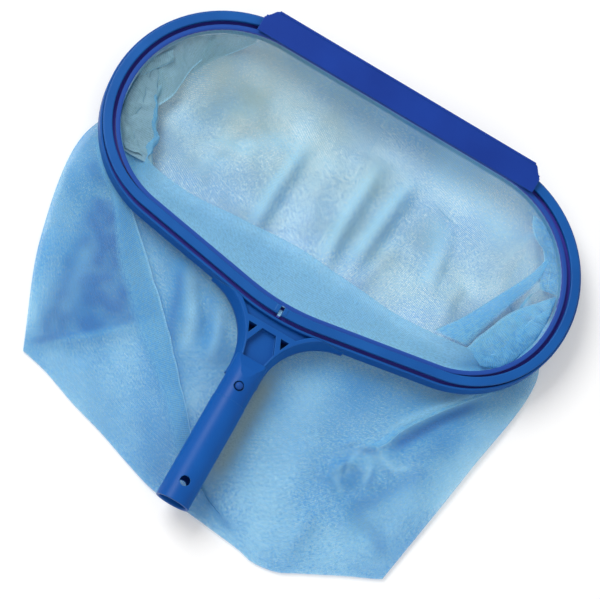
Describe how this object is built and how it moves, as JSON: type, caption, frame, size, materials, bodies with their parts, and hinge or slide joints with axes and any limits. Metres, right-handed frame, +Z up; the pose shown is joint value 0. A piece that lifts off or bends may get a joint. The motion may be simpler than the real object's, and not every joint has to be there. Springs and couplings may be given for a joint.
{
  "type": "leaf skimmer net",
  "caption": "Pool leaf rake: moulded oval hoop with a raised scoop lip, forked yoke, pole handle with a snap-button clip, and a deep mesh bag laid flat behind it.",
  "frame": {"origin": "centre of the handle's mouth, on the handle's axis", "axes": "+X right along the hoop's long side, +Y along the handle from its mouth to the hoop, +Z up out of the bag's opening; the bag lies on the ground below"},
  "size_m": [0.4358, 0.4068, 0.0447],
  "materials": {
    "moulding": "satin injection-moulded polypropylene, deep blue",
    "strip_moulding": "satin extruded strip, deep blue",
    "net_cloth": "fine woven nylon mesh, light blue, half see-through",
    "clip_moulding": "moulded acetal, blue, slightly waxy"
  },
  "bodies": {
    "frame": {"hoop": "moulding", "scoop_lip": "moulding", "yoke": "moulding", "handle_tube": "moulding", "retaining_strip": "strip_moulding", "net_hem": "net_cloth", "net_bag": "net_cloth", "clip_bend": "clip_moulding"},
    "leg_top": {"clip_arm_top": "clip_moulding", "button_top": "clip_moulding"},
    "leg_bottom": {"clip_arm_bottom": "clip_moulding", "button_bottom": "clip_moulding"}
  },
  "joints": [
    {"name": "snap_top", "type": "hinge", "parent": "frame", "child": "leg_top", "pos_m": [0, 0.052, 0.0096], "axis": [-1, 0, 0], "range_deg": [0, 3], "stiffness_Nm_per_rad": 1.2, "springref_deg": -2.86},
    {"name": "snap_bottom", "type": "hinge", "parent": "frame", "child": "leg_bottom", "pos_m": [0, 0.052, -0.0096], "axis": [1, 0, 0], "range_deg": [0, 3], "stiffness_Nm_per_rad": 1.2, "springref_deg": -2.86}
  ]
}
